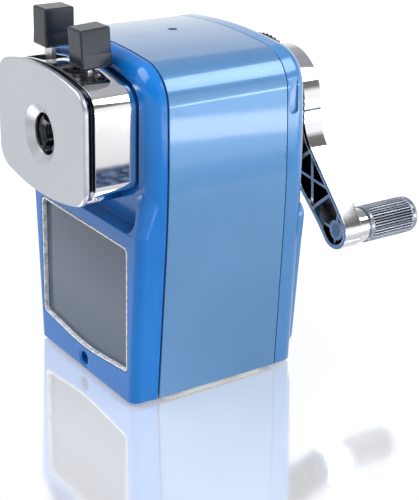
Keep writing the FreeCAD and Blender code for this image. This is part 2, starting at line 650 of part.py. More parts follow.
rods, clips, pins = [], [], []
for side in (-1, 1):
    rods.append(rod(f"guide_rod{side + 1}", "rod_r",
                    "rod_end_y - shell_rear_y + back_thick + 0.8",
                    f"{side}*rod_x", "shell_rear_y - back_thick - 0.8", "rod_z"))
    washer = rod(f"clip_disc{side + 1}", "clip_r", "clip_thick",
                 f"{side}*rod_x", "rod_end_y - clip_thick - 0.4", "rod_z")
    hole = rod(f"clip_hole{side + 1}", "rod_r + 0.01", "clip_thick + 2",
               f"{side}*rod_x", "rod_end_y - clip_thick - 1.4", "rod_z")
    clips.append(subtract(f"rod_clip{side + 1}", washer, hole))
    pins.append(rod(f"pin{side + 1}", "pivot_r",
                    "shell_rear_y - rim_rear_y - 0.4",
                    f"{side}*pivot_x", "rim_rear_y", "pivot_z"))
guide_rods = group("guide_rods", rods)
rod_clips = group("rod_clips", clips)
lever_pins = group("lever_pins", pins)

# Spring across the two lever stems that keeps the jaws closed.
spring_half = size("pivot_x") - size("lever_half") - 0.8
lever_middle = size("lever_front_y") + size("lever_thick") / 2
lever_spring = coil("lever_spring", size("lever_spring_r"), size("lever_spring_wire"),
                    size("lever_spring_r"), 2 * spring_half,
                    FreeCAD.Placement(V(-spring_half, lever_middle, size("lever_spring_z")),
                                      FreeCAD.Rotation(V(0, 1, 0), 90)))
lever_spring.Label = "lever_spring"


# --------------------------------------------------------------------- levers
def make_lever(word, side):
    """Steel lever of one side (-1 left, +1 right), hung on its pin."""
    x, z, axis = size("pivot_x"), size("pivot_z"), size("axis_z")
    half, top, inner = size("lever_half"), size("lever_top_z"), size("lever_jaw_x")
    jaw_low = axis - 4.4
    right = [(x - half, top, 0.6), (x - half, z + 4, 2), (x - 3.0, z - 1, 4),
             (inner, axis + 5, 3), (inner, jaw_low, 0.8), (x - 1.0, jaw_low, 2),
             (x + 1.2, axis + 5, 6), (x + 2.6, z - 1, 3), (x + half, z + 4, 3),
             (x + half, top, 0.6)]
    plate = body(f"{word}_lever")
    slab(plate, "plate", rounded([(side * px, pz, r) for px, pz, r in right]),
         "lever_front_y", "lever_front_y + lever_thick")
    cut(plate, "pivot", circle(side * x, z, size("pivot_r") + size("running_gap")),
        "lever_front_y", "lever_front_y + lever_thick")
    cut(plate, "jaw_seat", circle(0, axis, size("jaw_outer_r") + 0.05),
        "lever_front_y", "lever_front_y + lever_thick")
    return plate


def make_tab(word, side):
    """Black finger tab pushed onto the lever: flared at the foot, soft-edged."""
    x, half, flare = side * size("pivot_x"), size("tab_half"), size("tab_flare")
    length, middle = size("tab_length"), size(f"{word}_tab_z")
    low, top = middle - length / 2, middle + length / 2
    rise = low + size("tab_flare_rise")
    tab = body(f"{word}_tab")
    slab(tab, "cap", rounded([
        (x - half - flare, low - 2, 0), (x + half + flare, low - 2, 0),
        (x + half, rise, 8), (x + half, top + 2, 0), (x - half, top + 2, 0),
        (x - half, rise, 8)]), "tab_front_y - 2", "tab_rear_y + 2")
    front, rear_end = size("tab_front_y"), size("tab_rear_y")
    centre = V((front + rear_end) / 2, middle, 0)
    leaning = FreeCAD.Rotation(V(0, 0, 1), size(f"{word}_tab_lean"))
    corners = []
    for y, z in ((front, low), (rear_end, low), (rear_end, top), (front, top)):
        point = centre + leaning.multVec(V(y, z, 0) - centre)
        corners.append((point.x, point.y, 0))
    around = box_outline(front - 6, low - 6, rear_end + 6, top + 6)
    trim(tab, "faces", around + rounded(corners), "pivot_x*4")
    soften(tab, "edges", "tab_edge_r",
           lambda box: max(box.XLength, box.YLength) > half or box.ZLength > length / 2)
    reach = size("lever_half") + size("running_gap")
    cut(tab, "plate_slot", box_outline(x - reach, low - 2, x + reach, size("tab_slot_z")),
        "lever_front_y - running_gap", "lever_front_y + lever_thick + running_gap")
    return tab


def jaw_section():
    """Threaded jaw in section, as (depth, radius)."""
    inner, outer = size("jaw_inner_r"), size("jaw_outer_r")
    start, end = size("jaw_front_y"), size("jaw_rear_y")
    pitch, depth = size("thread_pitch"), size("thread_depth")
    points = [(start, inner + 1.4, 0)]
    for thread in range(int((end - start) / pitch) - 1):
        at = start + (thread + 1) * pitch
        points += [(at, inner, 0), (at + pitch / 2, inner + depth, 0)]
    return rounded(points + [(end, inner, 0), (end, outer, 0), (start, outer, 0)])


def make_jaw(word, side):
    """Part-round jaw: a sector of a threaded sleeve about the pencil axis."""
    section = Part.Face(Part.Wire([edge.toShape() for edge in jaw_section()]))
    # swap depth and radius, so that the radius lies on X and the depth on Y
    section.transformShape(FreeCAD.Matrix(0, 1, 0, 0, 1, 0, 0, 0, 0, 0, 1, 0, 0, 0, 0, 1))
    spread = size("jaw_half_angle")
    section.rotate(V(0, 0, 0), V(0, 1, 0), spread if side > 0 else 180 + spread)
    made = doc.addObject("Part::Feature", f"{word}_jaw")
    made.Shape = section.revolve(V(0, 0, 0), V(0, 1, 0), -2 * spread)
    made.Label = f"{word}_jaw"
    made.Placement.Base.z = size("axis_z")
    return made


clamps = []
for word, side in (("left", -1), ("right", 1)):
    clamps += [make_lever(word, side), make_tab(word, side), make_jaw(word, side)]

# ---------------------------------------------------------------- cutter unit
# Bayonet ring: serrated flange behind the rear plate, barrel and three lugs.
ring = body("bayonet_ring")
serrations = int(size("serrations"))
rim = []
for i in range(serrations):
    for part_turn, radius in ((0.0, size("ring_r")),
                              (0.5, size("ring_r") - size("serration_depth"))):
        angle = 2 * math.pi * (i + part_turn) / serrations
        rim.append((radius * math.cos(angle), radius * math.sin(angle), 0))
slab(ring, "flange", rounded(rim), "ring_front_y", "ring_rear_y")
slab(ring, "barrel", circle(0, 0, size("barrel_r")), "barrel_front_y", "ring_front_y")
for third in range(3):
    slab(ring, f"lug{third}", lug_outline(90 + 120 * third, size("lug_half"),
                                          size("barrel_r") - 1.5, size("lug_r"), 0),
         "lug_front_y", "lug_rear_y")
cut(ring, "inside", circle(0, 0, size("barrel_r") - size("barrel_wall")),
    "barrel_front_y", "unit_bush_front_y")
cut(ring, "bush_hole", circle(0, 0, size("unit_bush_r") + 0.02), "unit_bush_front_y",
    "ring_rear_y")
lift(ring)

unit_bush = rod("unit_bush", "unit_bush_r", "unit_bush_rear_y - unit_bush_front_y",
                y="unit_bush_front_y", z="axis_z")
unit_bore = rod("unit_bore", "bush_hole_r", "unit_bush_rear_y - unit_bush_front_y + 2",
                y="unit_bush_front_y - 1", z="axis_z")
bearing_bush = subtract("bearing_bush", unit_bush, unit_bore)

# Bevel gearing. Both gears share one apex on the crank axis, so each tooth is a
# profile lofted towards that apex.
tilt = math.radians(size("cone_tilt"))
ring_teeth, pinion_teeth = int(size("ring_teeth")), int(size("pinion_teeth"))
pinion_cone = math.atan(math.sin(tilt) / (ring_teeth / pinion_teeth - math.cos(tilt)))
ring_cone = pinion_cone + tilt
length = size("pitch_length")


def toothed_outline(teeth, root, tip, root_width, tip_width, height):
    """Closed outline of straight-flanked teeth, one of them at the foot."""
    points = []
    for i in range(teeth):
        middle = 2 * math.pi * i / teeth - math.pi / 2
        for radius, width, sign in ((root, root_width, -1), (tip, tip_width, -1),
                                    (tip, tip_width, 1), (root, root_width, 1)):
            angle = middle + sign * width / 2 / radius
            points.append(V(radius * math.cos(angle), radius * math.sin(angle), height))
    return Part.makePolygon(points + [points[0]])


def toothed_cone(name, teeth, cone, root, tip, near, far):
    """Loft between two similar toothed outlines at two distances from the apex."""
    wires = []
    for distance in (near, far):
        scale = distance / length
        wires.append(toothed_outline(teeth, root * scale, tip * scale,
                                     size(f"{name}_root_width") * scale,
                                     size(f"{name}_tip_width") * scale,
                                     distance * math.cos(cone)))
    return Part.makeLoft(wires, True, True)


near = length - size("gear_face") / 2
far = length + size("gear_face") / 2
pinion_pitch = length * math.sin(pinion_cone)
ring_pitch = length * math.sin(ring_cone)
apex = V(0, size("apex_y"), size("axis_z"))
tilted = FreeCAD.Placement(apex, FreeCAD.Rotation(V(1, 0, 0), 90 + size("cone_tilt")))
upright = FreeCAD.Placement(apex, FreeCAD.Rotation(V(1, 0, 0), 90))

teeth_hole = toothed_cone("ring", ring_teeth, ring_cone, ring_pitch - size("ring_root"),
                          ring_pitch + size("ring_tip"), near - 1.5, far + 1.5)
blank_low = near * math.cos(ring_cone)
blank = Part.makeCylinder(size("barrel_r") - size("barrel_wall") - 0.05,
                          (far - near) * math.cos(ring_cone), V(0, 0, blank_low))
ring_gear = doc.addObject("Part::Feature", "ring_gear")
ring_gear.Shape = blank.cut(teeth_hole)
ring_gear.Label = "ring_gear"
ring_gear.Placement = upright

pinion_shape = toothed_cone("pinion", pinion_teeth, pinion_cone,
                            pinion_pitch - size("pinion_root"),
                            pinion_pitch + size("pinion_tip"), near + 0.1, far - 0.1)
axle_bore = Part.makeCylinder(size("axle_r") + size("running_gap"),
                              size("axle_start") + size("axle_length"))
pinion_shape = pinion_shape.cut(axle_bore)
cutter_pinion = doc.addObject("Part::Feature", "cutter_pinion")
cutter_pinion.Shape = pinion_shape
cutter_pinion.Label = "cutter_pinion"
cutter_pinion.Placement = tilted

# Helical cutter: sawtooth section swept along the axis with a helix as guide.
blades, start = int(size("cutter_blades")), size("cutter_start")
outer, inner = size("cutter_r"), size("cutter_r") - size("blade_depth")
section = []
for i in range(blades):
    for share_of_pitch, radius in ((0.0, outer), (0.14, outer), (0.5, inner), (0.86, inner)):
        angle = 2 * math.pi * (i + share_of_pitch) / blades
        section.append(V(radius * math.cos(angle), radius * math.sin(angle), start))
spine = Part.Wire([Part.makeLine(V(0, 0, start), V(0, 0, start + size("cutter_length")))])
guide = Part.makeHelix(size("cutter_twist_pitch"), size("cutter_length"), outer * 2)
guide.translate(V(0, 0, start))
sweep = Part.BRepOffsetAPI.MakePipeShell(spine)
sweep.setAuxiliarySpine(guide, True, False)
sweep.add(Part.makePolygon(section + [section[0]]), False, False)
sweep.build()
sweep.makeSolid()
helical_cutter = doc.addObject("Part::Feature", "helical_cutter")
helical_cutter.Shape = sweep.shape().cut(axle_bore)
helical_cutter.Label = "helical_cutter"
helical_cutter.Placement = tilted

# ---------------------------------------------------------------------- crank
# Carrier: two discs joined by a half-round cradle opposite the cutter, and the
# shaft that runs in the unit's bush.
front_disc = rod("carrier_front_disc", "carrier_r", "carrier_disc", y="carrier_front_y",
                 z="axis_z")
back_disc = rod("carrier_back_disc", "cradle_r", "carrier_back", y="carrier_back_y",
                z="axis_z")
shaft = rod("carrier_shaft", "shaft_r", "shaft_end_y - carrier_back_y - 1",
            y="carrier_back_y + 1", z="axis_z")
cradle = rod("cradle_outer", "cradle_r", "carrier_back_y - carrier_front_y",
             y="carrier_front_y + 1", z="axis_z")
cradle.Angle = 140
cradle.Placement.Rotation = FreeCAD.Rotation(V(0, 1, 0), -160).multiply(
    FreeCAD.Rotation(V(1, 0, 0), -90))
cradle_space = rod("cradle_inner", "cradle_r - cradle_wall",
                   "carrier_back_y - carrier_front_y - carrier_disc",
                   y="carrier_front_y + carrier_disc", z="axis_z")
cradle_hollow = subtract("cradle", cradle, cradle_space)
pencil_hole = rod("carrier_pencil_hole", "carrier_hole_r", "carrier_disc + 2",
                  y="carrier_front_y - 1", z="axis_z")
axle_hole = doc.addObject("Part::Cylinder", "axle_hole")
axle_hole.setExpression("Radius", bound("axle_r + 0.01"))
axle_hole.setExpression("Height", bound("axle_length"))
axle_hole.Placement = tilted.multiply(
    FreeCAD.Placement(V(0, 0, size("axle_start")), FreeCAD.Rotation()))
carrier_solid = fuse("carrier_solid", [front_disc, back_disc, shaft, cradle_hollow])
carrier_holes = fuse("carrier_holes", [pencil_hole, axle_hole])
cutter_carrier = subtract("cutter_carrier", carrier_solid, carrier_holes)

cutter_axle = doc.addObject("Part::Cylinder", "cutter_axle")
cutter_axle.Label = "cutter_axle"
cutter_axle.setExpression("Radius", bound("axle_r"))
cutter_axle.setExpression("Height", bound("axle_length"))
cutter_axle.Placement = axle_hole.Placement


def arm_plan(distance):
    """Arm seen along the crank axis: round hub, hollow neck, slim straight arm."""
    big, small = size("hub_r") - distance, size("tip_r") - distance
    waist, neck = size("arm_waist") - distance, size("arm_neck_r") + distance
    reach = size("crank_length")
    along = math.sqrt((big + neck) ** 2 - (waist + neck) ** 2)
    touch = V(along, waist + neck, 0) * (big / (big + neck))
    lean = math.atan((waist - small) / (reach - along))
    tangent = V(reach + small * math.sin(lean), small * math.cos(lean), 0)
    slant = math.atan2(waist + neck - touch.y, along - touch.x) / 2 + math.pi / 4
    middle = V(along - neck * math.cos(slant), waist + neck - neck * math.sin(slant), 0)
    start = V(along, waist, 0)

    def below(point):
        return V(point.x, -point.y, 0)

    return [Part.Arc(touch, middle, start), Part.LineSegment(start, tangent),
            Part.Arc(tangent, V(reach + small, 0, 0), below(tangent)),
            Part.LineSegment(below(tangent), below(start)),
            Part.Arc(below(start), below(middle), below(touch)),
            Part.Arc(below(touch), V(-big, 0, 0), touch)]


def arm_side(inner_extra, outer_drop):
    """Arm seen from the side: hub end close to the case, tip end set back."""
    hub, tip, depth = size("arm_hub_y"), size("arm_tip_y"), size("arm_depth")
    near, far, bend = size("arm_bend_near"), size("arm_bend_far"), size("arm_bend_r")
    start, end = -size("hub_r") - 2, size("crank_length") + size("tip_r") + 2
    lower = [(start, hub - inner_extra, 0), (near, hub - inner_extra, bend),
             (far, tip - inner_extra, bend), (end, tip - inner_extra, 0)]
    upper = [(end, tip + depth - outer_drop, 0), (far, tip + depth - outer_drop, bend),
             (near, hub + depth - outer_drop, bend), (start, hub + depth - outer_drop, 0)]
    return rounded(lower + upper)


# Crank arm: a cranked channel, open towards the case, with ribs and two bosses.
plan_outer = flat("arm_plan_outer", arm_plan(0), FACING, "120", True)
plan_inner = flat("arm_plan_inner", arm_plan(size("arm_wall")), FACING, "120", True)
side_outer = flat("arm_side_outer", arm_side(0, 0), LEVEL, "60", True)
side_inner = flat("arm_side_inner", arm_side(4, size("arm_wall")), LEVEL, "60", True)
side_ribs = flat("arm_side_ribs", arm_side(-size("rib_drop"), size("arm_wall")), LEVEL, "60",
                 True)
arm_block = share("arm_block", plan_outer, side_outer)
arm_space = share("arm_space", plan_inner, side_inner)
arm_channel = subtract("arm_channel", arm_block, arm_space)
reach = size("crank_length")
rib_half = size("rib_wall") / 2


def rib(name, x1, z1, x2, z2):
    """Thin wall along a line, through the whole depth of the arm."""
    run = V(x2 - x1, z2 - z1, 0)
    across = V(-run.y, run.x, 0).normalize() * rib_half
    points = [V(x1, z1, 0) - across, V(x2, z2, 0) - across, V(x2, z2, 0) + across,
              V(x1, z1, 0) + across]
    return flat(name, rounded([(p.x, p.y, 0) for p in points]), FACING, "120", True)


rib_near, rib_far, rise = size("rib_near"), size("rib_far"), size("rib_rise")
hub_r, tip_r = size("hub_r"), size("tip_r")
arm_ribs = [rib("rib_cross_hub", rib_near, -hub_r, rib_near, hub_r),
            rib("rib_cross_tip", rib_far, -hub_r, rib_far, hub_r),
            rib("rib_diagonal_one", rib_near, -rise, rib_far, rise),
            rib("rib_diagonal_two", rib_near, rise, rib_far, -rise)]
for quarter in range(4):
    angle = math.radians(45 + 90 * quarter)
    ray = V(math.cos(angle), math.sin(angle), 0)
    arm_ribs.append(rib(f"rib_tip{quarter}", reach, 0, reach + tip_r * ray.x, tip_r * ray.y))
    arm_ribs.append(rib(f"rib_hub{quarter}", 0, 0, hub_r * ray.x, hub_r * ray.y))
arm_ribs.append(flat("boss_tip", circle(reach, 0, size("spindle_r") + size("boss_wall")),
                     FACING, "120", True))
arm_ribs.append(flat("boss_hub", circle(0, 0, size("shaft_r") + size("hub_boss_wall")),
                     FACING, "120", True))
rib_mass = fuse("rib_mass", arm_ribs)
rib_limit = share("rib_limit", plan_outer, side_ribs)
ribs_trimmed = share("ribs_trimmed", rib_mass, rib_limit)
arm_solid = fuse("arm_solid", [arm_channel, ribs_trimmed])
shaft_seat = rod("shaft_seat", "shaft_r + 0.02", "shaft_end_y - arm_hub_y + 1",
                 y="arm_hub_y - 0.9", z="0")
screw_way = rod("screw_way", "screw_r + 0.4", "30", y="arm_hub_y", z="0")
spindle_seat = rod("spindle_seat", "spindle_r + 0.02", "40", "crank_length", "arm_hub_y", "0")
arm_holes = fuse("arm_holes", [shaft_seat, screw_way, spindle_seat])
crank_arm = subtract("crank_arm", arm_solid, arm_holes)
swing = FreeCAD.Placement(V(0, 0, size("axis_z")),
                          FreeCAD.Rotation(V(0, 1, 0), size("crank_angle")))
crank_arm.Placement = swing

# Hub screw in the end of the shaft.
hub_head = rod("hub_head", "screw_head_r + 1.2", "screw_head + 0.6",
               y="arm_hub_y + arm_depth + 0.05", z="axis_z")
hub_shank = rod("hub_shank", "screw_r", "arm_hub_y + arm_depth - shaft_end_y",
                y="shaft_end_y + 0.1", z="axis_z")
hub_screw = fuse("hub_screw", [hub_head, hub_shank])

# Knob spindle, pressed into the arm, and the collar between arm and knob.
knob_x = "crank_length*cos(crank_angle*1deg)"
knob_z = "axis_z - crank_length*sin(crank_angle*1deg)"
tip_face = "arm_tip_y + arm_depth"
knob_spindle = rod("knob_spindle", "spindle_r", "arm_depth + collar_length + knob_length - 4",
                   knob_x, "arm_tip_y + rib_drop", knob_z)
collar_disc = rod("collar_disc", "collar_r", "collar_length", knob_x, f"{tip_face} + 0.05",
                  knob_z)
collar_hole = rod("collar_hole", "spindle_r + 0.01", "collar_length + 2", knob_x,
                  f"{tip_face} - 1", knob_z)
knob_collar = subtract("knob_collar", collar_disc, collar_hole)

# ----------------------------------------------------------------------- knob
# Free-turning grip on the spindle, with a rounded end.
knob = body("crank_knob")
knob_start = size("arm_tip_y") + size("arm_depth") + size("collar_length") + size("knob_gap")
knob_end = knob_start + size("knob_length")
hole_end = knob_end - size("knob_end_wall")
bore = size("spindle_r") + size("running_gap")
turn(knob, "grip", rounded([
    (knob_start, bore, 0), (hole_end, bore, 0), (hole_end, 0, 0), (knob_end, 0, 0),
    (knob_end, size("knob_r"), size("knob_end_r")),
    (knob_start, size("knob_r"), size("knob_start_r"))]))
knob.setExpression(".Placement.Base.x", bound(knob_x))
knob.setExpression(".Placement.Base.z", bound(knob_z))

doc.recompute()

# --------------------------------------------------------------------- export
PIECES = [case, frame, rear, base, rubber_feet, clamp_socket, tie_posts, rear_screws,
          rod_bushes, return_springs, drawer, face, shell, back, guide_rods, rod_clips,
          lever_pins, lever_spring, ring, bearing_bush, ring_gear, cutter_pinion,
          helical_cutter, cutter_carrier, cutter_axle, crank_arm, hub_screw, knob_spindle,
          knob_collar, knob] + clamps

for item in doc.Objects:
    if "Invalid" in item.State or "Error" in item.State:
        raise RuntimeError(f"{item.Name} failed: {item.State}")
os.makedirs("parts", exist_ok=True)
for piece in PIECES:
    if piece.Shape.isNull() or not piece.Shape.isValid():
        raise RuntimeError(f"{piece.Label} has no valid shape")
for piece in PIECES:
    piece.Shape.exportStep(f"parts/{piece.Label}.step")
    print(piece.Label, len(piece.Shape.Solids), round(piece.Shape.Volume, 1))
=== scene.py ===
import math

import bmesh
import bpy
from mathutils import Matrix, Vector


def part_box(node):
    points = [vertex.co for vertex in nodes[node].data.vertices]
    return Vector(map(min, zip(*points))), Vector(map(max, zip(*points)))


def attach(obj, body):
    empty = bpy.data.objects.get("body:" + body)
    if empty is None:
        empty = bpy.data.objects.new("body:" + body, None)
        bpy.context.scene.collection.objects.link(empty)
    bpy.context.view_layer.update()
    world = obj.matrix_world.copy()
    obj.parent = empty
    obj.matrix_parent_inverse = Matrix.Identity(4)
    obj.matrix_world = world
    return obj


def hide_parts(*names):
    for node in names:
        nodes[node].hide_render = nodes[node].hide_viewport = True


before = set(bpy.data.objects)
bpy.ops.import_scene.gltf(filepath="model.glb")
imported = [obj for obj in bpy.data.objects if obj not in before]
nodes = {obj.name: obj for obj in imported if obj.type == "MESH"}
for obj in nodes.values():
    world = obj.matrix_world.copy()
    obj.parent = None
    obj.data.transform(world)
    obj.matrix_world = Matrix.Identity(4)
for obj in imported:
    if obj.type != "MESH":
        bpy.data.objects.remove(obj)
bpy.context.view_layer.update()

# ---- Casing -----------------------------------------------------------------
# A bent sheet of steel, sprayed a glossy mid blue with a fine metallic flake
# and a clear lacquer that shows a faint orange peel.


def new_finish(name):
    """A material, its node tree and its main shader."""
    material = bpy.data.materials.new(name)
    material.use_nodes = True
    tree = material.node_tree
    return material, tree, tree.nodes["Principled BSDF"]


def grain(tree, scale, detail=3.0, stretch=(1, 1, 1)):
    """Noise that stays with the piece, sized in cycles per metre."""
    place = tree.nodes.new("ShaderNodeTexCoord")
    turn = tree.nodes.new("ShaderNodeMapping")
    turn.inputs["Scale"].default_value = stretch
    noise = tree.nodes.new("ShaderNodeTexNoise")
    noise.inputs["Scale"].default_value = scale
    noise.inputs["Detail"].default_value = detail
    tree.links.new(place.outputs["Object"], turn.inputs["Vector"])
    tree.links.new(turn.outputs["Vector"], noise.inputs["Vector"])
    return noise.outputs["Fac"]


def ramp(tree, value, stops):
    """Colours along a value, given as (position, (r, g, b))."""
    node = tree.nodes.new("ShaderNodeValToRGB")
    for i, (position, colour) in enumerate(stops):
        if i < 2:
            element = node.color_ramp.elements[i]
            element.position = position
        else:
            element = node.color_ramp.elements.new(position)
        element.color = (*colour, 1)
    tree.links.new(value, node.inputs["Fac"])
    return node.outputs["Color"]


def spread(tree, value, low, high):
    """Stretch a noise value over a range, as for roughness."""
    node = tree.nodes.new("ShaderNodeMapRange")
    node.interpolation_type = "SMOOTHSTEP"
    node.inputs["From Min"].default_value = 0.1
    node.inputs["From Max"].default_value = 0.9
    node.inputs["To Min"].default_value = low
    node.inputs["To Max"].default_value = high
    tree.links.new(value, node.inputs["Value"])
    return node.outputs["Result"]


def tint(tree, shader, value, dark, light, low=0.3, high=0.7):
    """Base colour that drifts between two shades with a value."""
    colour = ramp(tree, value, [(low, dark), (high, light)])
    tree.links.new(colour, shader.inputs["Base Color"])


def wear(tree, shader, value, low, high):
    """Roughness that drifts between two figures with a value."""
    tree.links.new(spread(tree, value, low, high), shader.inputs["Roughness"])


def relief(tree, shader, height, depth, edge_radius=0.0):
    """Bump of a real depth in metres, over corners softened by a radius."""
    bump = tree.nodes.new("ShaderNodeBump")
    bump.inputs["Strength"].default_value = 1.0
    bump.inputs["Distance"].default_value = depth
    tree.links.new(height, bump.inputs["Height"])
    if edge_radius:
        soft = tree.nodes.new("ShaderNodeBevel")
        soft.samples = 6
        soft.inputs["Radius"].default_value = edge_radius
        tree.links.new(soft.outputs["Normal"], bump.inputs["Normal"])
    tree.links.new(bump.outputs["Normal"], shader.inputs["Normal"])


def new_piece(name, mesh, material):
    """An object of one finish, made from a finished bmesh."""
    data = bpy.data.meshes.new(name)
    mesh.to_mesh(data)
    mesh.free()
    data.materials.append(material)
    piece = bpy.data.objects.new(name, data)
    bpy.context.scene.collection.objects.link(piece)
    return piece


def skin(material, body, slot, *names, crease=32):
    """Merged copies of CAD nodes, shaded smooth over their rounded edges."""
    merge_distance = 0.000002
    for name in names:
        mesh = bmesh.new()
        mesh.from_mesh(nodes[name].data)
        bmesh.ops.remove_doubles(mesh, verts=mesh.verts, dist=merge_distance)
        for face in mesh.faces:
            face.smooth = True
        for edge in mesh.edges:
            edge.smooth = edge.calc_face_angle(0) < math.radians(crease)
        piece = new_piece(f"{name}_skin", mesh, material)
        attributes = piece.data.attributes
        if "custom_normal" in attributes:
            attributes.remove(attributes["custom_normal"])
        even = piece.modifiers.new("even_shading", "WEIGHTED_NORMAL")
        even.keep_sharp = True
        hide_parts(name)
        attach(piece, body)


paint, tree, shader = new_finish("blue_paint")
tint(tree, shader, grain(tree, 14, 2), (0.055, 0.170, 0.350), (0.070, 0.195, 0.385), 0.35, 0.65)
wear(tree, shader, grain(tree, 60, 4), 0.26, 0.34)
shader.inputs["Metallic"].default_value = 0.35
shader.inputs["Coat Weight"].default_value = 1.0
shader.inputs["Coat Roughness"].default_value = 0.04
relief(tree, shader, grain(tree, 700, 1), 0.000006, 0.0003)
skin(paint, "housing", "case_paint", "case_shell")

# ---- Front frame, rear plate and clamp socket ----------------------------------
# Injection-moulded plastic without the casing's flake: the frame and the socket
# are a deeper blue, the rear plate is near the casing's. The casing slips over both.
moulded, tree, shader = new_finish("blue_moulding")
tint(tree, shader, grain(tree, 25, 3), (0.003, 0.105, 0.360), (0.004, 0.122, 0.400), 0.35, 0.65)
wear(tree, shader, grain(tree, 90, 4), 0.16, 0.24)
shader.inputs["Specular IOR Level"].default_value = 0.25
shader.inputs["Coat Weight"].default_value = 0.2
shader.inputs["Coat Roughness"].default_value = 0.08
relief(tree, shader, grain(tree, 500, 2), 0.000008, 0.0006)
skin(moulded, "housing", "frame_plastic", "front_frame", "clamp_socket")

backing, tree, shader = new_finish("blue_backing")
tint(tree, shader, grain(tree, 25, 3), (0.035, 0.150, 0.350), (0.045, 0.170, 0.385), 0.35, 0.65)
wear(tree, shader, grain(tree, 90, 4), 0.16, 0.24)
shader.inputs["Metallic"].default_value = 0.15
shader.inputs["Coat Weight"].default_value = 0.6
shader.inputs["Coat Roughness"].default_value = 0.06
relief(tree, shader, grain(tree, 500, 2), 0.000008, 0.0005)
skin(backing, "housing", "frame_plastic", "rear_plate")

# ---- Base plate, posts, rods and other plain steel ------------------------------
# Zinc-plated or drawn steel with a faint directional grain along Y. The posts and
# their screws tie the frame and the rear plate together through the casing.

def dress(material, *names):
    """Give CAD nodes one finish."""
    for name in names:
        slots = nodes[name].data.materials
        slots.clear()
        slots.append(material)


steel, tree, shader = new_finish("plated_steel")
tint(tree, shader, grain(tree, 40, 4), (0.50, 0.51, 0.54), (0.66, 0.67, 0.69))
wear(tree, shader, grain(tree, 300, 3, (1, 0.08, 1)), 0.22, 0.38)
shader.inputs["Metallic"].default_value = 1.0
relief(tree, shader, grain(tree, 1500, 2, (1, 0.06, 1)), 0.000004, 0.00015)
dress(steel, "base_plate", "tie_posts", "rear_screws", "return_springs",
      "nose_back_plate", "guide_rods", "rod_clips", "lever_pins", "lever_spring",
      "left_lever", "right_lever", "cutter_axle", "hub_screw", "knob_spindle")

# ---- Feet --------------------------------------------------------------------
# Black rubber discs pressed into shallow round seats in the underside of the base
# plate, quite matt.
rubber, tree, shader = new_finish("foot_rubber")
tint(tree, shader, grain(tree, 200, 4), (0.012, 0.012, 0.013), (0.030, 0.030, 0.032))
shader.inputs["Roughness"].default_value = 0.85
relief(tree, shader, grain(tree, 900, 3), 0.00003)
dress(rubber, "rubber_feet")

# ---- Rod bushes ----------------------------------------------------------------
# Natural-coloured slippery plastic, turned or moulded, in which the two guide rods
# slide. Each has a lip that seats it in the frame.
guide, tree, shader = new_finish("guide_plastic")
tint(tree, shader, grain(tree, 120, 3), (0.58, 0.57, 0.52), (0.70, 0.69, 0.64))
shader.inputs["Roughness"].default_value = 0.45
relief(tree, shader, grain(tree, 700, 2), 0.00001)
dress(guide, "rod_bushes")

# ---- Drawer --------------------------------------------------------------------
# One clear smoke-tinted moulding: a flat front panel sunk inside a thin raised rim, and an
# open tray behind it. The rim is painted near white as a painted highlight, and the tint is
# painted lighter across the middle than at the top and bottom, as painted light and shade.

def along(tree, axis, low, high):
    """Value that rises from 0 to 1 along the piece between two places in metres."""
    place = tree.nodes.new("ShaderNodeTexCoord")
    split = tree.nodes.new("ShaderNodeSeparateXYZ")
    node = tree.nodes.new("ShaderNodeMapRange")
    node.inputs["From Min"].default_value = low
    node.inputs["From Max"].default_value = high
    tree.links.new(place.outputs["Object"], split.inputs["Vector"])
    tree.links.new(split.outputs[axis], node.inputs["Value"])
    return node.outputs["Result"]


def blend(tree, factor, first, second):
    """One colour fading to another."""
    node = tree.nodes.new("ShaderNodeMix")
    node.data_type = "RGBA"
    tree.links.new(factor, node.inputs["Factor"])
    tree.links.new(first, node.inputs["A"])
    tree.links.new(second, node.inputs["B"])
    return node.outputs["Result"]


smoke, tree, shader = new_finish("smoky_clear")
drawer_low, drawer_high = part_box("shavings_drawer")
panel_sink, rim_blend = 0.0015, 0.0001
panel_face = drawer_low.y + panel_sink
# Painted light and shade: the tint is lighter across the middle and darker at the top and
# bottom.
smoke_and_shade = ramp(tree, along(tree, "Z", drawer_low.z, drawer_high.z), [
    (0.0, (0.065, 0.100, 0.155)), (0.45, (0.105, 0.140, 0.200)), (1.0, (0.055, 0.085, 0.135))])
# Painted highlight: the thin raised rim is coloured near white with a speckle.
rim_highlight = ramp(tree, grain(tree, 900, 5), [(0.35, (0.42, 0.47, 0.53)),
                                          (0.60, (0.93, 0.95, 0.97))])
on_rim = along(tree, "Y", panel_face - rim_blend, panel_face - 2 * rim_blend)
tree.links.new(blend(tree, on_rim, smoke_and_shade, rim_highlight), shader.inputs["Base Color"])
wear(tree, shader, grain(tree, 70, 4), 0.06, 0.14)
shader.inputs["Transmission Weight"].default_value = 0.30
shader.inputs["IOR"].default_value = 1.46
relief(tree, shader, grain(tree, 120, 2), 0.00002, 0.0003)
skin(smoke, "drawer", "drawer_clear", "shavings_drawer")

# ---- Nose ----------------------------------------------------------------------
# Bright chrome on the shell, with painted shade, a dark navy colour, down in the groove
# behind its rim; the face plate is plated over a finely blasted surface, so that it looks satin.

def product(tree, first, second):
    """One value times another."""
    node = tree.nodes.new("ShaderNodeMath")
    node.operation = "MULTIPLY"
    node.use_clamp = True
    tree.links.new(first, node.inputs[0])
    tree.links.new(second, node.inputs[1])
    return node.outputs["Value"]


